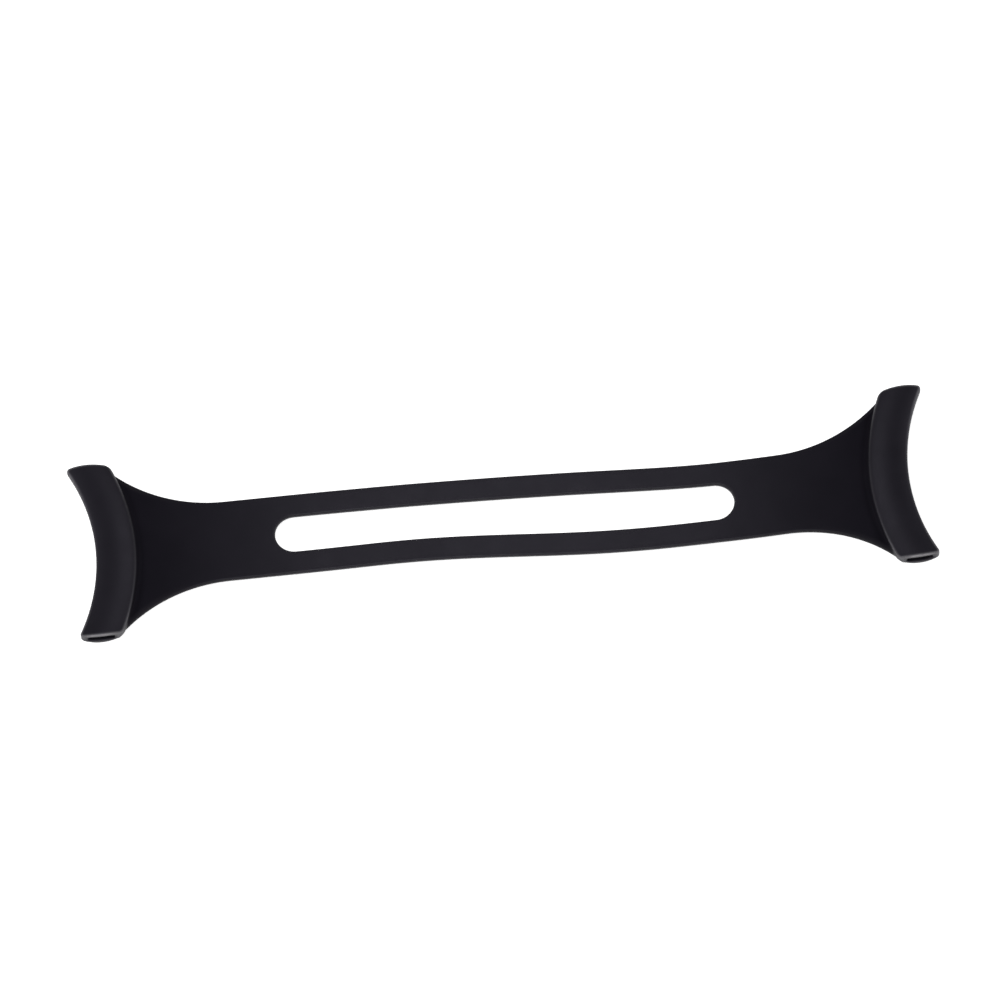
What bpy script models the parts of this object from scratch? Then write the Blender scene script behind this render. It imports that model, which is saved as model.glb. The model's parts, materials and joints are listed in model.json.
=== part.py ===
"""Eyeglasses retainer strap: a slotted silicone band that flares at both ends into hollow temple sleeves.

The strap lies flat on its back: length along X, width along Y, front face up, origin under its centre.
The moulding is divided at its flex lines: five links in each of the two rails beside the slot, a yoke at each
end of the slot, and a temple sleeve beyond each yoke. Every flex line runs along Y at half the band's thickness.
Each sleeve is an upper and a lower half that move together and meet halfway between its two mouths.
"""

import math

import bmesh
import bpy

MM = 0.001

# Temple sleeves: flattened tubes, open at both ends, bent round the concave rim at each tip of the strap
STRAP_LENGTH = 200.0 * MM
SLEEVE_HEIGHT = 43.4 * MM
SLEEVE_WIDTH = 9.2 * MM
SLEEVE_THICKNESS = 4.1 * MM
SLEEVE_WALL = 1.2 * MM
SLEEVE_SIDE_WALL = 1.8 * MM
RIM_RADIUS = 46.0 * MM

# Slotted band
BAND_WIDTH = 20.4 * MM
BAND_THICKNESS = 1.3 * MM
BAND_LIFT = 0.7 * MM
SLOT_LENGTH = 106.6 * MM
SLOT_WIDTH = 9.1 * MM

# Yokes: the web widens along an arc and stops short of each sleeve's mouths
FLARE_RADIUS = 36.0 * MM
BARE_SLEEVE_END = 1.7 * MM
SLEEVE_FLEX_OFFSET = 2.4 * MM

# Flex lines and edges
LINKS_PER_RAIL = 5
FLEX_GAP = 0.3 * MM
HALVES_GAP = 0.1 * MM
EDGE_RADIUS = 0.3 * MM
EDGE_SEGMENTS = 2

# Roundness of the tube's section: 2 is an ellipse, more is squarer
SLEEVE_ROUNDNESS = 2.9
BORE_ROUNDNESS = 8.0

# How far the web's root reaches into the sleeve's side wall
WEB_ROOT_SHARE_OF_WALL = 0.5

# Faceting
SECTION_SIDES = 24
ROWS_PER_HALF = 8
FLARE_STEPS = 12
SLOT_END_STEPS = 14

SILICONE_COLOUR = (0.012, 0.011, 0.015, 1.0)
SILICONE_ROUGHNESS = 0.55

# Places worked out from the sizes above
half_sleeve = SLEEVE_HEIGHT / 2
half_band = BAND_WIDTH / 2
half_slot = SLOT_WIDTH / 2
band_back = BAND_LIFT
flex_height = BAND_LIFT + BAND_THICKNESS / 2
half_gap = FLEX_GAP / 2
halves_y = HALVES_GAP / 2

rim_centre_x = STRAP_LENGTH / 2 + math.sqrt(RIM_RADIUS**2 - half_sleeve**2)
sleeve_inner_radius = RIM_RADIUS + SLEEVE_WIDTH
flare_end_y = half_sleeve - BARE_SLEEVE_END
flare_angle = math.acos(1 - (flare_end_y - half_band) / FLARE_RADIUS)
flare_end_x = rim_centre_x - math.sqrt(sleeve_inner_radius**2 - flare_end_y**2)
flare_start_x = flare_end_x - FLARE_RADIUS * math.sin(flare_angle)
slot_straight_x = SLOT_LENGTH / 2 - half_slot
sleeve_flex_x = rim_centre_x - sleeve_inner_radius - SLEEVE_FLEX_OFFSET
link_length = 2 * slot_straight_x / LINKS_PER_RAIL


def clear_scene():
    for thing in list(bpy.data.objects):
        bpy.data.objects.remove(thing, do_unlink=True)


def silicone(name):
    material = bpy.data.materials.new(name + "_silicone")
    material.use_nodes = True
    shader = material.node_tree.nodes["Principled BSDF"]
    shader.inputs["Base Color"].default_value = SILICONE_COLOUR
    shader.inputs["Roughness"].default_value = SILICONE_ROUGHNESS
    shader.inputs["Metallic"].default_value = 0.0
    return material


def add_object(name, shape, origin):
    """Makes an object from a bmesh given in strap coordinates, with its origin at the given point."""
    bmesh.ops.recalc_face_normals(shape, faces=shape.faces)
    bmesh.ops.translate(shape, verts=shape.verts, vec=[-c for c in origin])
    mesh = bpy.data.meshes.new(name)
    shape.to_mesh(mesh)
    shape.free()
    mesh.materials.append(silicone(name))
    thing = bpy.data.objects.new(name, mesh)
    thing.location = origin
    bpy.context.scene.collection.objects.link(thing)
    return thing


def round_edges(thing):
    bevel = thing.modifiers.new("edge_rounding", "BEVEL")
    bevel.width = EDGE_RADIUS
    bevel.segments = EDGE_SEGMENTS
    bevel.limit_method = "ANGLE"


def add_plate(name, outline, origin):
    """A piece of the flat band or web: an outline in X and Y with the band's thickness and rounded edges."""
    shape = bmesh.new()
    floor = shape.faces.new([shape.verts.new((x, y, band_back)) for x, y in outline])
    grown = bmesh.ops.extrude_face_region(shape, geom=[floor])["geom"]
    lifted = [part for part in grown if isinstance(part, bmesh.types.BMVert)]
    bmesh.ops.translate(shape, verts=lifted, vec=(0, 0, BAND_THICKNESS))
    plate = add_object(name, shape, origin)
    round_edges(plate)
    return plate


def flare_point(angle):
    """A point on the web's upper edge: the arc leaves the band's edge at angle zero."""
    x = flare_start_x + FLARE_RADIUS * math.sin(angle)
    y = half_band + FLARE_RADIUS * (1 - math.cos(angle))
    return x, y


def flare_points(x_from, x_to):
    """Points along the web's upper edge between two places along the strap."""
    first = math.asin((x_from - flare_start_x) / FLARE_RADIUS)
    last = math.asin((x_to - flare_start_x) / FLARE_RADIUS)
    return [flare_point(first + (last - first) * i / FLARE_STEPS) for i in range(FLARE_STEPS + 1)]


def add_rails():
    """The links of both rails, each with its origin on the flex line nearer the strap's centre."""
    middle = LINKS_PER_RAIL // 2
    places = ["centre", "inner", "outer"]
    for rail, sign in (("upper", 1), ("lower", -1)):
        for i in range(LINKS_PER_RAIL):
            steps = i - middle
            side = "" if steps == 0 else ("right_" if steps > 0 else "left_")
            name = rail + "_rail_" + side + places[min(abs(steps), len(places) - 1)]
            x_low = -slot_straight_x + i * link_length
            x_high = x_low + link_length
            flex_x = x_low if steps > 0 else x_high
            origin_x = 0.0 if steps == 0 else flex_x
            inside = sign * half_slot
            outside = sign * half_band
            outline = [
                (x_low + half_gap, inside),
                (x_high - half_gap, inside),
                (x_high - half_gap, outside),
                (x_low + half_gap, outside),
            ]
            origin = (origin_x, (inside + outside) / 2, flex_height)
            add_plate(name, outline, origin)


def add_yoke(name, side):
    """The web from the rails' ends, round the slot's end, to the sleeve's flex line."""
    x_inner = slot_straight_x + half_gap
    x_outer = sleeve_flex_x - half_gap
    start = math.asin(half_gap / half_slot)
    sweep = math.pi / 2 - start
    upper = []
    for i in range(SLOT_END_STEPS + 1):
        angle = sweep * i / SLOT_END_STEPS
        upper.append((slot_straight_x + half_slot * math.cos(angle), half_slot * math.sin(angle)))
    upper.append((x_inner, half_band))
    upper += flare_points(flare_start_x, x_outer)
    lower = [(x, -y) for x, y in reversed(upper[1:])]
    outline = [(side * x, y) for x, y in upper + lower]
    add_plate(name, outline, (side * slot_straight_x, 0.0, flex_height))


def section_loop(half_width, half_height, roundness):
    """A flattened round section whose front, back and sides end in narrow flat strips."""
    power = 2 / roundness
    turn = 2 * math.pi / SECTION_SIDES
    largest = math.cos(turn / 2) ** power
    loop = []
    for i in range(SECTION_SIDES):
        angle = turn * (i + 0.5)
        across = math.copysign(abs(math.sin(angle)) ** power, math.sin(angle)) / largest
        up = math.copysign(abs(math.cos(angle)) ** power, math.cos(angle)) / largest
        loop.append((half_width * across, half_height * up))
    return loop


def add_tube(name, side, end, origin):
    """Half a hollow sleeve along the rim's arc, cut straight across at its upper (1) or lower (-1) mouth."""
    half_width = SLEEVE_WIDTH / 2
    half_height = SLEEVE_THICKNESS / 2
    skin = section_loop(half_width, half_height, SLEEVE_ROUNDNESS)
    bore = section_loop(half_width - SLEEVE_SIDE_WALL, half_height - SLEEVE_WALL, BORE_ROUNDNESS)
    shape = bmesh.new()
    rows = []
    for j in range(ROWS_PER_HALF + 1):
        y = end * (halves_y + (half_sleeve - halves_y) * j / ROWS_PER_HALF)
        row = []
        for across, up in skin + bore:
            radius = RIM_RADIUS + half_width + across
            x = rim_centre_x - math.sqrt(radius**2 - y**2)
            row.append(shape.verts.new((side * x, y, half_height + up)))
        rows.append(row)
    sides = SECTION_SIDES
    for near, far in zip(rows, rows[1:]):
        for first in (0, sides):
            for i in range(sides):
                a = first + i
                b = first + (i + 1) % sides
                shape.faces.new((near[a], near[b], far[b], far[a]))
    for ring in (rows[0], rows[-1]):
        for i in range(sides):
            j = (i + 1) % sides
            shape.faces.new((ring[i], ring[j], ring[sides + j], ring[sides + i]))
    return add_object(name, shape, origin)


def add_half_sleeve(name, side, end):
    """Half a temple sleeve with its share of the web between its inner edge and its flex line."""
    origin = (side * sleeve_flex_x, 0.0, flex_height)
    root_radius = sleeve_inner_radius - SLEEVE_SIDE_WALL * WEB_ROOT_SHARE_OF_WALL
    web_x = sleeve_flex_x + half_gap
    upper = flare_points(web_x, flare_end_x)
    for i in range(FLARE_STEPS + 1):
        y = flare_end_y + (halves_y - flare_end_y) * i / FLARE_STEPS
        upper.append((rim_centre_x - math.sqrt(root_radius**2 - y**2), y))
    upper.append((web_x, halves_y))
    outline = [(side * x, end * y) for x, y in upper]
    root = add_plate(name + "_root", outline, origin)
    root.hide_render = True
    root.display_type = "WIRE"
    tube = add_tube(name, side, end, origin)
    union = tube.modifiers.new("web_root", "BOOLEAN")
    union.operation = "UNION"
    union.solver = "EXACT"
    union.object = root


def main():
    clear_scene()
    add_rails()
    for name, side in (("left", -1), ("right", 1)):
        add_yoke(name + "_yoke", side)
        for half, end in (("upper", 1), ("lower", -1)):
            add_half_sleeve(name + "_temple_sleeve_" + half, side, end)


main()
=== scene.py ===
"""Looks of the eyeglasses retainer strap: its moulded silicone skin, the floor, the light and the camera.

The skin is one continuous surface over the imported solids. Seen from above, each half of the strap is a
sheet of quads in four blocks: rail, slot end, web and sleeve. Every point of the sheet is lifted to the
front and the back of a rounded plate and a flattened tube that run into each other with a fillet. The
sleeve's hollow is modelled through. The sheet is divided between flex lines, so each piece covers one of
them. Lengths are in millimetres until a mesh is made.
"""

import json
import math

import bmesh
import bpy
import numpy as np
from mathutils import Matrix, Vector


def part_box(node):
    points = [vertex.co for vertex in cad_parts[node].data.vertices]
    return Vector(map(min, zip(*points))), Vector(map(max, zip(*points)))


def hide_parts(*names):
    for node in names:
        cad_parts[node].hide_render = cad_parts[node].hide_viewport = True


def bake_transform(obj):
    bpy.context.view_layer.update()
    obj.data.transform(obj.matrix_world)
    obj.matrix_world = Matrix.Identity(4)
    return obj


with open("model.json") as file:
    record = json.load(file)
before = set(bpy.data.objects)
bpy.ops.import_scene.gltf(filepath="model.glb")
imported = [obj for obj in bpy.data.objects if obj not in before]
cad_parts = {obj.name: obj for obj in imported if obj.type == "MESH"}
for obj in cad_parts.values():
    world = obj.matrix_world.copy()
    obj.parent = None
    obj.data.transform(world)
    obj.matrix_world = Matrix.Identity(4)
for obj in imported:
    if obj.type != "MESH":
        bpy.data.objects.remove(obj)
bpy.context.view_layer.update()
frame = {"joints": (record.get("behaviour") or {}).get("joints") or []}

MM = 0.001

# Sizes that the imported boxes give
sleeve_high = np.array(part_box("right_temple_sleeve_upper")[1]) / MM
rail_low, rail_high = (np.array(corner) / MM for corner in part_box("upper_rail_centre"))
HALF_LENGTH = sleeve_high[0]
HALF_SLEEVE = sleeve_high[1]
SLEEVE_THICKNESS = sleeve_high[2]
HALF_SLOT = rail_low[1]
HALF_BAND = rail_high[1]
BAND_MIDDLE = (rail_low[2] + rail_high[2]) / 2
BAND_THICKNESS = rail_high[2] - rail_low[2]
FLEX_X = {joint["name"]: joint["pos_m"][0] / MM for joint in frame["joints"]}

# Plan of the sleeve and the web
RIM_RADIUS = 46.0
SLEEVE_WIDTH = 9.2
FLARE_RADIUS = 36.0
BARE_SLEEVE_END = 1.7
WEB_ROOT_DEPTH = 1.0
SLOT_END_RAIL_WIDTHS = 2

# Ends of the sleeve, seen from above: bulged, with rounded corners
END_CROWN = 0.5
INNER_CORNER = 1.1
RIM_CORNER = 1.0

# Section of the sleeve: arched front and back, rounded edges, and a flattened hollow
FRONT_CROWN = 0.9
BACK_CROWN = 1.6
CORNER_RADIUS = 0.3
SOFT_CORNER = 0.6
FRONT_WALL = 1.2
SIDE_WALL = 1.8
BORE_ROUNDNESS = 4.0
LIP_RADIUS = 0.2

# Rounded edges of the band, and the fillet where the web meets the sleeve
EDGE_RADIUS = 0.5
FILLET_MIDDLE = 1.6
FILLET_END = 0.3

# Shares of the pale painted highlight: the middle of a mouth's trimmed front lip has all of it
EDGE_HIGHLIGHT = 0.06
SLEEVE_END_HIGHLIGHT = 0.4
BACK_LIP_HIGHLIGHT = 0.2
# Painted light: a share of the pale colour on the hollow's walls, which lie in shade
BORE_LIGHT = 0.15

# Heights and widths over which the painted highlight fades: below the front's edge, and towards a lip's
# corners
FRONT_EDGE_BAND = 0.25
LIP_FADE = 3.0

# Painted shade: the web's sheen is lowered towards the sleeve, to darken it where the sleeve shades it
SHADE_START = 0.4
SHADE_REACH = 42.0

# How finely the sheet is divided
EDGE_CELLS = 6
RAIL_CELLS = 5
WEB_CELLS = 22
SLOT_END_CELLS = 10
STATION_STEP = 0.8
WEB_STATIONS = 44
WEB_CROWDING = 1.6
SLEEVE_CELLS = 24
MOUTH_CELLS = 8
HEIGHT_SAMPLES = 160
HEIGHT_MARGIN = 0.4
HEIGHT_HALVINGS = 30
WIDTH_HALVINGS = 60
TOUCH = 1e-4

# Line across the web where the yoke's skin ends and the sleeve's starts
WEB_CUT = WEB_STATIONS // 3

# Points of a sheet that fall in one cell are one point; the shift keeps round values off the cells' borders
CELL = 0.001
CELL_SHIFT = 0.371

# Cleaning of a finished mesh, in metres and degrees
WELD_DISTANCE = 2e-6
SLIVER_LENGTH = 1e-7
SHARP_ANGLE = 40.0

# A soft strap never lies dead straight: its right half sags sideways, its middle is drawn to the right, and
# its rails stand a little wider apart on the right and closer together on the left. The whole skin is set
# back by about half the sag, so that it stays near its solids on both sides.
SAG_DEPTH = 2.8
SAG_PLACE = 45.0
SAG_REACH = 75.0
SET_BACK = 1.3
SLIDE = 0.7
RAIL_SPREAD = 0.25
RAIL_DRIFT = 0.4
DRIFT_PLACE = 5.0
DRIFT_RUN = 17.0

rail_width = HALF_BAND - HALF_SLOT
rim_centre_x = HALF_LENGTH + math.sqrt(RIM_RADIUS**2 - HALF_SLEEVE**2)
sleeve_inner_radius = RIM_RADIUS + SLEEVE_WIDTH
half_width = SLEEVE_WIDTH / 2
half_thickness = SLEEVE_THICKNESS / 2
slot_straight_x = FLEX_X["right_yoke_flex"]
web_start_x = slot_straight_x + SLOT_END_RAIL_WIDTHS * rail_width
flare_end_y = HALF_SLEEVE - BARE_SLEEVE_END
flare_end_x = rim_centre_x - math.sqrt(sleeve_inner_radius**2 - flare_end_y**2)
flare_angle = math.acos(1 - (flare_end_y - HALF_BAND) / FLARE_RADIUS)
flare_start_x = flare_end_x - FLARE_RADIUS * math.sin(flare_angle)
front_arc = (half_width**2 + FRONT_CROWN**2) / (2 * FRONT_CROWN)
back_arc = (half_width**2 + BACK_CROWN**2) / (2 * BACK_CROWN)


def edge_steps(radius, cells=EDGE_CELLS):
    """Distances in from an edge, spaced evenly round its rounding."""
    turn = np.linspace(0, math.pi / 2, cells + 1)
    return radius * (1 - np.cos(turn))


def graded(width, cells, radius=EDGE_RADIUS):
    """Distances across a strip, close together at its two rounded edges."""
    near = edge_steps(radius)
    middle = np.linspace(radius, width - radius, cells + 1)[1:-1]
    return np.concatenate([near, middle, (width - near)[::-1]])


def stations(start, end):
    count = max(1, round((end - start) / STATION_STEP))
    return np.linspace(start, end, count + 1)


def grid(x, y):
    return np.stack(np.broadcast_arrays(x, y), axis=-1)


def rim_x(radius, y):
    """Where an arc round the rim's centre crosses a line along the strap."""
    return rim_centre_x - np.sqrt(radius**2 - y**2)


def flare_edge(x):
    """Half the web's width at a place along the strap."""
    run = np.clip(x - flare_start_x, 0, FLARE_RADIUS)
    return HALF_BAND + FLARE_RADIUS - np.sqrt(FLARE_RADIUS**2 - run**2)


def rail_block(sign, start, end):
    x = stations(start, end)[:, None]
    y = (HALF_SLOT + graded(rail_width, RAIL_CELLS))[None, :]
    return grid(x, sign * y)


def slot_end_block():
    """Lines from the slot's round end out to the band's two edges and to the start of the web."""
    across = HALF_BAND - graded(2 * HALF_BAND, WEB_CELLS)
    along = np.linspace(slot_straight_x, web_start_x, SLOT_END_CELLS + 1)[:-1]
    outer_x = np.concatenate([along, np.full(len(across), web_start_x), along[::-1]])
    outer_y = np.concatenate([np.full(len(along), HALF_BAND), across, np.full(len(along), -HALF_BAND)])
    corner = math.pi / 4
    upper = np.linspace(math.pi / 2, corner, len(along) + 1)[:-1]
    middle = np.linspace(corner, -corner, len(across))
    angle = np.concatenate([upper, middle, -upper[::-1]])[:, None]
    share = (graded(rail_width, RAIL_CELLS) / rail_width)[None, :]
    inner_x = slot_straight_x + HALF_SLOT * np.cos(angle)
    inner_y = HALF_SLOT * np.sin(angle)
    x = inner_x + share * (outer_x[:, None] - inner_x)
    y = inner_y + share * (outer_y[:, None] - inner_y)
    return grid(x, y)


def web_line(blend, y):
    """A line across the web: straight at the slot end (0), along the sleeve's edge where they meet (1)."""
    return (1 - blend) * web_start_x + blend * rim_x(sleeve_inner_radius, y)


def web_half_width(blend):
    """Where a line across the web meets the flare, found by halving."""
    low, high = HALF_BAND / 2, HALF_SLEEVE
    for _ in range(WIDTH_HALVINGS):
        middle = (low + high) / 2
        if middle < flare_edge(web_line(blend, middle)):
            low = middle
        else:
            high = middle
    return high


def sleeve_rows_under_web():
    return flare_end_y - graded(2 * flare_end_y, WEB_CELLS)


def web_block():
    """Lines across the web, closer together towards the sleeve."""
    rows = []
    ease = np.linspace(0, 1, WEB_STATIONS + 1)[:-1]
    for blend in 1 - (1 - ease) ** WEB_CROWDING:
        edge = web_half_width(blend)
        y = edge - graded(2 * edge, WEB_CELLS)
        rows.append(grid(web_line(blend, y), y))
    y = sleeve_rows_under_web()
    rows.append(grid(web_line(1.0, y), y))
    return np.array(rows)


def sleeve_rows():
    """Places along the sleeve's inner edge, from its upper mouth to its lower one."""
    upper = HALF_SLEEVE - edge_steps(INNER_CORNER, MOUTH_CELLS)
    return np.concatenate([upper, sleeve_rows_under_web(), -upper[::-1]])[None, :]


def sleeve_shares():
    """Places across the sleeve, from its inner edge (1) to its rim (-1)."""
    return (1 - graded(SLEEVE_WIDTH, SLEEVE_CELLS, CORNER_RADIUS) / half_width)[:, None]


def drawn_in(y, radius):
    """How far an edge draws in round a corner of that radius at a mouth."""
    depth = np.clip(HALF_SLEEVE - np.abs(y), 0, radius)
    return radius - np.sqrt(radius**2 - (radius - depth) ** 2)


def end_bulge(across):
    """How far a mouth stands out past its corners."""
    return END_CROWN * (1 - np.minimum(np.abs(across) / half_width, 1) ** 2)


def sleeve_places(across, y):
    """Points over the sleeve, with the last rows pushed out to the bulged mouths."""
    near_mouth = np.clip((np.abs(y) - flare_end_y) / (HALF_SLEEVE - flare_end_y), 0, 1)
    y = y + np.sign(y) * end_bulge(across) * near_mouth
    return grid(rim_x(RIM_RADIUS + half_width + across, y), y)


def sleeve_block():
    y, share = sleeve_rows(), sleeve_shares()
    corner = np.where(share > 0, drawn_in(y, INNER_CORNER), drawn_in(y, RIM_CORNER))
    return sleeve_places((half_width - corner) * share, y)


def bore_walls():
    """The hollow's front and back walls over the sleeve block, with mouths that widen round their lips."""
    y, share = sleeve_rows(), sleeve_shares()
    lip = drawn_in(y, LIP_RADIUS)
    plan = sleeve_places((half_width - SIDE_WALL + lip) * share, y)
    fall = np.maximum(1 - np.abs(share) ** BORE_ROUNDNESS, 0) ** (1 / BORE_ROUNDNESS)
    up = fall * (half_thickness - FRONT_WALL + lip)
    return [np.dstack([plan, half_thickness + way * up]) for way in (1, -1)]


def inside_edges(x, y):
    """How far a place lies inside the edges of the band, web and slot, seen from above."""
    past_flare = np.hypot(x - flare_start_x, y - HALF_BAND - FLARE_RADIUS) - FLARE_RADIUS
    edge = np.where(x > flare_start_x, past_flare, HALF_BAND - y)
    slot = np.where(x > slot_straight_x, np.hypot(x - slot_straight_x, y), y) - HALF_SLOT
    return np.minimum(edge, slot)


def across_sleeve(x, y):
    """Distance from the sleeve's middle line, seen from above, more than zero towards the web."""
    return np.hypot(rim_centre_x - x, y) - RIM_RADIUS - half_width


def halfway(y):
    """1 halfway along the sleeve, 0 where the web ends."""
    return 1 - np.minimum(y / flare_end_y, 1) ** 2


def past_mouth(x, y):
    return y - HALF_SLEEVE - end_bulge(across_sleeve(x, y))


def rounded(a, b, radius):
    """Distance to a corner of two faces with that rounding: a and b are the distances outside each face."""
    a, b = a + radius, b + radius
    return np.minimum(np.maximum(a, b), 0) + np.hypot(np.maximum(a, 0), np.maximum(b, 0)) - radius


def joined(a, b, radius):
    """Distance to two shapes that meet in a round fillet: a and b are the distances outside each."""
    corner = np.hypot(np.maximum(radius - a, 0), np.maximum(radius - b, 0))
    return np.maximum(radius, np.minimum(a, b)) - corner


def outside_plate(x, y, z):
    root = np.hypot(rim_centre_x - x, y) - (sleeve_inner_radius - WEB_ROOT_DEPTH)
    inside = np.minimum(inside_edges(x, y), root)
    return rounded(-inside, np.abs(z - BAND_MIDDLE) - BAND_THICKNESS / 2, EDGE_RADIUS)


def outside_sleeve_plan(x, y):
    across = across_sleeve(x, y)
    corner = np.where(across > 0, INNER_CORNER, RIM_CORNER)
    return rounded(np.abs(across) - half_width, past_mouth(x, y), corner)


def outside_tube(x, y, z):
    across = across_sleeve(x, y)
    front = np.hypot(across, z - SLEEVE_THICKNESS + front_arc) - front_arc
    back = np.hypot(across, back_arc - z) - back_arc
    from_mouth = np.clip(-past_mouth(x, y) / INNER_CORNER, 0, 1)
    softness = np.where(across > 0, halfway(y), 0)
    corner = CORNER_RADIUS + (SOFT_CORNER - CORNER_RADIUS) * softness
    edge = LIP_RADIUS + (corner - LIP_RADIUS) * from_mouth
    return rounded(np.maximum(front, back), outside_sleeve_plan(x, y), edge)


def outside_strap(x, y, z):
    """Distance outside the strap's skin, less than zero inside it."""
    fillet = FILLET_END + (FILLET_MIDDLE - FILLET_END) * halfway(y)
    return joined(outside_plate(x, y, z), outside_tube(x, y, z), fillet)


def surface_height(points, start, end):
    """Where a vertical line through each point first meets the skin, going from one height to another."""
    x, y = points[:, 0], np.abs(points[:, 1])
    heights = np.linspace(start, end, HEIGHT_SAMPLES)
    found = np.full(len(points), -1)
    nearest = np.full(len(points), np.inf)
    lowest = np.zeros(len(points), int)
    for i, z in enumerate(heights):
        outside = outside_strap(x, y, z)
        found = np.where((found < 0) & (outside <= TOUCH), i, found)
        lowest = np.where(outside < nearest - TOUCH, i, lowest)
        nearest = np.minimum(outside, nearest)
    missed = found < 0
    hit = np.where(missed, lowest, found)
    near, far = heights[np.maximum(hit - 1, 0)], heights[hit]
    for _ in range(HEIGHT_HALVINGS):
        middle = (near + far) / 2
        inside = outside_strap(x, y, middle) <= TOUCH
        far = np.where(inside, middle, far)
        near = np.where(inside, near, middle)
    return np.where(missed, heights[lowest], far)


def painted_highlight(x, y, z):
    """Painted highlight: pale colour on the rounding of an edge, more towards a mouth, most on a mouth's
    trimmed front lip.
    """
    across = across_sleeve(x, y)
    on_sleeve = np.abs(across) <= half_width + TOUCH
    inside = np.where(on_sleeve, -outside_sleeve_plan(x, y), inside_edges(x, y))
    near_end = np.where(on_sleeve, (1 - halfway(y)) ** 2, 0)
    front = np.clip(1 + (z - SLEEVE_THICKNESS + FRONT_CROWN) / FRONT_EDGE_BAND, 0, 1)
    highlight = (EDGE_HIGHLIGHT + (SLEEVE_END_HIGHLIGHT - EDGE_HIGHLIGHT) * near_end) * np.where(on_sleeve, front, 1)
    edge = highlight * (1 - np.clip(inside / EDGE_RADIUS, 0, 1))
    lip = np.where(on_sleeve, 1 - np.clip(-past_mouth(x, y) / LIP_RADIUS, 0, 1), 0)
    lip *= np.where(z > half_thickness, 1, BACK_LIP_HIGHLIGHT)
    lip *= np.clip((half_width - np.abs(across)) / LIP_FADE, 0, 1)
    return np.maximum(edge, lip)


def painted_shade(x, y):
    """Painted shade: 1 in the corner between web and sleeve, fading out along the web; the sheen is lowered
    there.
    """
    from_sleeve = across_sleeve(x, y) - half_width
    fade = np.clip(1 - from_sleeve / SHADE_REACH, 0, 1)
    return np.clip(0.5 + from_sleeve / SHADE_START, 0, 1) * fade


def lay(places):
    """Moves points sideways to where the soft strap lies."""
    x, y = places[:, 0], places[:, 1]
    from_sag = np.clip((x - SAG_PLACE) / SAG_REACH, -1, 1)
    along_slot = np.minimum(np.abs(x) / slot_straight_x, 1)
    free = 1 - along_slot**2
    apart = RAIL_SPREAD * free**2 + RAIL_DRIFT * free * np.sin((x - DRIFT_PLACE) / DRIFT_RUN)
    sag = SAG_DEPTH * np.cos(math.pi / 2 * from_sag) ** 2
    places[:, 1] += SET_BACK + apart * np.sign(y) - sag
    places[:, 0] += SLIDE * (1 - (x / HALF_LENGTH) ** 2)


class Skin:
    """Collects the blocks of one piece of skin and makes it a closed mesh."""

    def __init__(self, name):
        self.name = name
        self.points = []
        self.index = {}
        self.quads = []
        self.sleeve_ids = None

    def point(self, place):
        """A point's number, which all points in its cell share."""
        key = tuple(np.floor(place / CELL + CELL_SHIFT).astype(int))
        if key not in self.index:
            self.index[key] = len(self.points)
            self.points.append(place)
        return self.index[key]

    def add(self, block):
        ids = np.array([[self.point(place) for place in row] for row in block])
        for near, far in zip(ids, ids[1:]):
            for j in range(len(near) - 1):
                self.quads.append((near[j], near[j + 1], far[j + 1], far[j]))
        return ids

    def add_sleeve(self):
        self.sleeve_ids = self.add(sleeve_block())

    def outline(self):
        """Edges that belong to one quad only."""
        seen = {}
        for quad in self.quads:
            for a, b in zip(quad, quad[1:] + quad[:1]):
                key = frozenset((a, b))
                seen[key] = None if key in seen else (a, b)
        return {key: edge for key, edge in seen.items() if edge}

    def mouth_edges(self):
        edges = set()
        if self.sleeve_ids is not None:
            for mouth in (self.sleeve_ids[:, 0], self.sleeve_ids[:, -1]):
                edges.update(frozenset(pair) for pair in zip(mouth, mouth[1:]))
        return edges

    def bore_faces(self, count):
        """Faces of the hollow's two walls, and of both mouths' rings from the skin to the hollow."""
        rows, columns = self.sleeve_ids.shape
        front = 2 * count + np.arange(rows * columns).reshape(rows, columns)
        back = front + rows * columns
        faces = []
        for wall, skin in ((front, self.sleeve_ids), (back, self.sleeve_ids + count)):
            for i in range(rows - 1):
                for j in range(columns - 1):
                    faces.append((wall[i, j], wall[i, j + 1], wall[i + 1, j + 1], wall[i + 1, j]))
                for j in (0, -1):
                    faces.append((skin[i, j], skin[i + 1, j], wall[i + 1, j], wall[i, j]))
        for i in (0, -1):
            for j in (0, -1):
                faces.append((self.sleeve_ids[i, j], self.sleeve_ids[i, j] + count, front[i, j]))
        return faces

    def build(self, side):
        """Points, faces and paint layers of the piece on the strap's right (1) or left (-1) side."""
        points = np.array(self.points)
        count = len(points)
        top = SLEEVE_THICKNESS + HEIGHT_MARGIN
        front = surface_height(points, top, -HEIGHT_MARGIN)
        back = np.minimum(front, surface_height(points, -HEIGHT_MARGIN, top))
        places = [np.c_[points, front], np.c_[points, back]]
        faces = list(self.quads)
        faces += [tuple(i + count for i in reversed(quad)) for quad in self.quads]
        mouths = self.mouth_edges()
        for key, (a, b) in self.outline().items():
            if key not in mouths:
                faces.append((b, a, a + count, b + count))
        if self.sleeve_ids is not None:
            places += [wall.reshape(-1, 3) for wall in bore_walls()]
            faces += self.bore_faces(count)
        places = np.vstack(places)
        # Pale colour painted along edges and lips stands in for their highlights
        light_paint = painted_highlight(places[:, 0], np.abs(places[:, 1]), places[:, 2])
        # The hollow's walls lie in shade; a smaller share of the pale colour paints light onto them
        light_paint[2 * count:] *= BORE_LIGHT
        shade_paint = painted_shade(places[:, 0], np.abs(places[:, 1]))
        places[:, 0] *= side
        lay(places)
        return places * MM, faces, {"painted_highlight": light_paint, "painted_shade": shade_paint}


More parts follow.
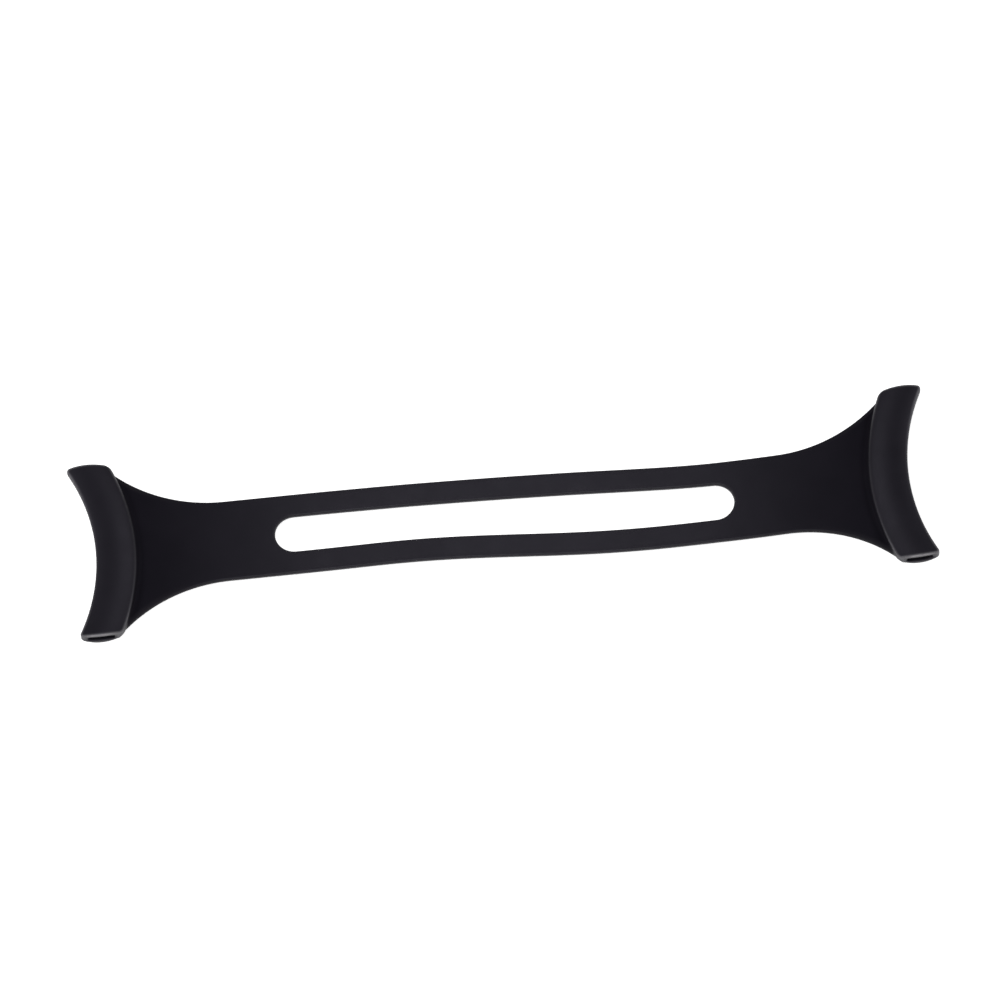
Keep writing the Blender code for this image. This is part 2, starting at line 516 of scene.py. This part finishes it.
def make_object(skin, side, material):
    places, faces, layers = skin.build(side)
    mesh = bpy.data.meshes.new(skin.name)
    mesh.from_pydata(places.tolist(), [], faces)
    for name, values in layers.items():
        layer = mesh.attributes.new(name, "FLOAT", "POINT")
        layer.data.foreach_set("value", values.astype(np.float32))
    clean(mesh)
    mesh.materials.append(material)
    thing = bpy.data.objects.new(skin.name, mesh)
    bpy.context.scene.collection.objects.link(thing)
    return thing


def clean(mesh):
    """Welds the rims where front and back meet, turns the faces out and shades them smooth."""
    shape = bmesh.new()
    shape.from_mesh(mesh)
    bmesh.ops.remove_doubles(shape, verts=shape.verts, dist=WELD_DISTANCE)
    bmesh.ops.dissolve_degenerate(shape, edges=shape.edges, dist=SLIVER_LENGTH)
    bmesh.ops.recalc_face_normals(shape, faces=shape.faces)
    shape.to_mesh(mesh)
    shape.free()
    mesh.shade_smooth()
    mesh.set_sharp_from_angle(angle=math.radians(SHARP_ANGLE))


# Colours of the silicone: a near-black body in soft clouds, and the pale colour of the painted highlights
BODY_DARK = (0.0058, 0.0052, 0.0078, 1)
BODY_PALE = (0.0078, 0.0070, 0.0102, 1)
BODY_STOPS = (0.3, 0.7)
HIGHLIGHT_DARK = (0.30, 0.29, 0.31, 1)
HIGHLIGHT_PALE = (0.40, 0.39, 0.40, 1)
HIGHLIGHT_STOPS = (0.35, 0.7)

# Its sheen, and the lower sheen that paints shade beside the sleeve, and its roughness
GLOSS = 0.29
SHADED_GLOSS = 0.02
GLOSS_TINT = (0.88, 0.84, 1.0, 1)
REFRACTION = 1.42
FUZZ = 0.02
FUZZ_ROUGHNESS = 0.45
LEAST_ROUGHNESS = 0.40
MOST_ROUGHNESS = 0.52

# Noise: features per metre, and detail
CLOUD_NOISE = (70, 3)
HIGHLIGHT_NOISE = (900, 4)
ROUGHNESS_NOISE = (260, 4)
GRAIN_NOISE = (3800, 2)
WAVE_NOISE = (120, 2)

# Relief of the moulded grain and of the wider waves, with depths in metres
GRAIN_STRENGTH = 0.25
GRAIN_DEPTH = 0.00002
WAVE_STRENGTH = 0.2
WAVE_DEPTH = 0.0002


def silicone():
    """Matte black silicone: fine moulded grain, uneven sheen, painted shade by the sleeve, painted edge
    highlights.
    """
    material = bpy.data.materials.new("silicone")
    material.use_nodes = True
    nodes, links = material.node_tree.nodes, material.node_tree.links
    shader = nodes["Principled BSDF"]
    shader.inputs["IOR"].default_value = REFRACTION
    shader.inputs["Specular Tint"].default_value = GLOSS_TINT
    shader.inputs["Sheen Weight"].default_value = FUZZ
    shader.inputs["Sheen Roughness"].default_value = FUZZ_ROUGHNESS

    place = nodes.new("ShaderNodeTexCoord").outputs["Object"]

    def noise(scale, detail):
        node = nodes.new("ShaderNodeTexNoise")
        node.inputs["Scale"].default_value = scale
        node.inputs["Detail"].default_value = detail
        links.new(place, node.inputs["Vector"])
        return node.outputs["Fac"]

    def ramp(factor, positions, colours):
        node = nodes.new("ShaderNodeValToRGB")
        for stop, position, colour in zip(node.color_ramp.elements, positions, colours):
            stop.position = position
            stop.color = colour
        links.new(factor, node.inputs["Fac"])
        return node.outputs["Color"]

    def mix(factor, first, second):
        node = nodes.new("ShaderNodeMix")
        node.data_type = "RGBA"
        links.new(factor, node.inputs["Factor"])
        links.new(first, node.inputs["A"])
        links.new(second, node.inputs["B"])
        return node.outputs["Result"]

    def layer(name):
        node = nodes.new("ShaderNodeAttribute")
        node.attribute_name = name
        return node.outputs["Fac"]

    def between(factor, at_zero, at_one):
        node = nodes.new("ShaderNodeMapRange")
        node.inputs["To Min"].default_value = at_zero
        node.inputs["To Max"].default_value = at_one
        links.new(factor, node.inputs["Value"])
        return node.outputs["Result"]

    def relief(height, strength, depth):
        node = nodes.new("ShaderNodeBump")
        node.inputs["Strength"].default_value = strength
        node.inputs["Distance"].default_value = depth
        links.new(height, node.inputs["Height"])
        return node

    body = ramp(noise(*CLOUD_NOISE), BODY_STOPS, (BODY_DARK, BODY_PALE))
    highlight = ramp(noise(*HIGHLIGHT_NOISE), HIGHLIGHT_STOPS, (HIGHLIGHT_DARK, HIGHLIGHT_PALE))
    roughness = between(noise(*ROUGHNESS_NOISE), LEAST_ROUGHNESS, MOST_ROUGHNESS)
    # The sheen is lowered towards the sleeve as painted shade
    gloss = between(layer("painted_shade"), GLOSS, SHADED_GLOSS)
    # The pale colour mixed in along edges and lips is a painted highlight
    links.new(mix(layer("painted_highlight"), body, highlight), shader.inputs["Base Color"])
    links.new(roughness, shader.inputs["Roughness"])
    links.new(gloss, shader.inputs["Specular IOR Level"])

    grain = relief(noise(*GRAIN_NOISE), GRAIN_STRENGTH, GRAIN_DEPTH)
    waves = relief(noise(*WAVE_NOISE), WAVE_STRENGTH, WAVE_DEPTH)
    links.new(grain.outputs["Normal"], waves.inputs["Normal"])
    links.new(waves.outputs["Normal"], shader.inputs["Normal"])
    return material


def add_half(name, side, material):
    """All pieces of one half, each made over the flex line that it covers."""
    inner = FLEX_X["right_inner_flex"]
    outer = FLEX_X["right_outer_flex"]
    cuts = [0.0, (inner + outer) / 2, (outer + slot_straight_x) / 2]

    def finish_piece(skin, replaced):
        thing = make_object(skin, side, material)
        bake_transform(thing)
        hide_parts(*replaced)

    for rail, sign in (("upper", 1), ("lower", -1)):
        prefix = f"{rail}_rail_{name}_"
        for step, place in enumerate(("inner", "outer")):
            skin = Skin(prefix + place + "_skin")
            skin.add(rail_block(sign, cuts[step], cuts[step + 1]))
            replaced = [prefix + place]
            if step == 0:
                replaced.append(f"{rail}_rail_centre")
            finish_piece(skin, replaced)

    web = web_block()
    yoke = Skin(name + "_yoke_skin")
    for sign in (1, -1):
        yoke.add(rail_block(sign, cuts[2], slot_straight_x))
    yoke.add(slot_end_block())
    yoke.add(web[: WEB_CUT + 1])
    finish_piece(yoke, [name + "_yoke"])

    sleeve = Skin(name + "_temple_sleeve_skin")
    sleeve.add(web[WEB_CUT:])
    sleeve.add_sleeve()
    finish_piece(sleeve, [name + "_temple_sleeve_upper", name + "_temple_sleeve_lower"])


# Stage, in metres
WHITE = (1, 1, 1, 1)
FLOOR_HALF = 3.0
FLOOR_DROP = 0.0001
FLOOR_COLOUR = (0.86, 0.86, 0.86, 1)
FLOOR_ROUGHNESS = 0.9
FLOOR_GLOW = 0.7

# Light. Each lamp has its place, width and height in metres and its power in watts, and faces the strap's
# centre.
WORLD_LIGHT = 0.15
BACK_SOFTBOX = ((0.0, 0.10, 0.21), 0.12, 0.06, 0.10)
FRONT_SOFTBOX = ((-0.15, -0.35, 0.75), 0.5, 0.3, 3.2)
SIDE_SOFTBOX = ((0.45, 0.05, 0.22), 0.2, 0.1, 0.85)

# The camera stands far off, so the strap shows with next to no perspective. Angles are in degrees, the
# distance is in metres, and the offsets move the strap in the image, in pixels.
CAMERA_ELEVATION = 63.0
CAMERA_DISTANCE = 3.0
CAMERA_ROLL = -5.75
PIXELS_PER_MM = 4.315
IMAGE_SIZE = 1000
SENSOR = 36.0
OFFSET_RIGHT = 2.7
OFFSET_UP = -21.17


def add_floor():
    mesh = bpy.data.meshes.new("floor")
    corners = [(-1, -1), (1, -1), (1, 1), (-1, 1)]
    mesh.from_pydata([(x * FLOOR_HALF, y * FLOOR_HALF, -FLOOR_DROP) for x, y in corners], [], [(0, 1, 2, 3)])
    floor = bpy.data.objects.new("floor", mesh)
    bpy.context.scene.collection.objects.link(floor)
    material = bpy.data.materials.new("floor_white")
    material.use_nodes = True
    nodes, links = material.node_tree.nodes, material.node_tree.links
    shader = nodes["Principled BSDF"]
    shader.inputs["Base Color"].default_value = FLOOR_COLOUR
    shader.inputs["Roughness"].default_value = FLOOR_ROUGHNESS
    shader.inputs["Specular IOR Level"].default_value = 0.0
    shader.inputs["Emission Color"].default_value = WHITE
    path = nodes.new("ShaderNodeLightPath")
    seen = path.outputs["Is Camera Ray"]
    for ray in ("Is Glossy Ray", "Is Transmission Ray"):
        either = nodes.new("ShaderNodeMath")
        either.operation = "MAXIMUM"
        links.new(seen, either.inputs[0])
        links.new(path.outputs[ray], either.inputs[1])
        seen = either.outputs["Value"]
    glow = nodes.new("ShaderNodeMath")
    glow.operation = "MULTIPLY"
    glow.inputs[1].default_value = FLOOR_GLOW
    links.new(seen, glow.inputs[0])
    links.new(glow.outputs["Value"], shader.inputs["Emission Strength"])
    mesh.materials.append(material)


def add_lamp(name, place, width, height, power):
    lamp = bpy.data.lights.new(name, "AREA")
    lamp.shape = "RECTANGLE"
    lamp.size = width
    lamp.size_y = height
    lamp.energy = power
    thing = bpy.data.objects.new(name, lamp)
    thing.location = place
    thing.rotation_euler = (Vector((0, 0, 0)) - Vector(place)).to_track_quat("-Z", "Y").to_euler()
    bpy.context.scene.collection.objects.link(thing)


def add_light():
    world = bpy.data.worlds.new("studio")
    bpy.context.scene.world = world
    world.use_nodes = True
    background = world.node_tree.nodes["Background"]
    background.inputs["Color"].default_value = WHITE
    background.inputs["Strength"].default_value = WORLD_LIGHT
    add_lamp("back_softbox", *BACK_SOFTBOX)
    add_lamp("front_softbox", *FRONT_SOFTBOX)
    (x, y, z), *size_and_power = SIDE_SOFTBOX
    for name, side in (("left", -1), ("right", 1)):
        add_lamp(name + "_softbox", (side * x, y, z), *size_and_power)


def add_camera():
    elevation = math.radians(CAMERA_ELEVATION)
    roll = math.radians(CAMERA_ROLL)
    forward = Vector((0, math.cos(elevation), -math.sin(elevation)))
    level = Vector((1, 0, 0))
    upright = level.cross(forward)
    right = math.cos(roll) * level + math.sin(roll) * upright
    up = math.cos(roll) * upright - math.sin(roll) * level
    camera = bpy.data.cameras.new("camera")
    camera.sensor_width = SENSOR
    camera.lens = PIXELS_PER_MM * CAMERA_DISTANCE / MM * SENSOR / IMAGE_SIZE
    thing = bpy.data.objects.new("camera", camera)
    offset = (right * OFFSET_RIGHT + up * OFFSET_UP) * MM / PIXELS_PER_MM
    basis = Matrix((right, up, -forward)).transposed().to_4x4()
    basis.translation = -forward * CAMERA_DISTANCE - offset
    thing.matrix_world = basis
    bpy.context.scene.collection.objects.link(thing)
    bpy.context.scene.camera = thing


def main():
    material = silicone()
    for name, side in (("left", -1), ("right", 1)):
        add_half(name, side, material)
    add_floor()
    add_light()
    add_camera()
    bpy.context.scene.view_settings.view_transform = "Standard"


main()
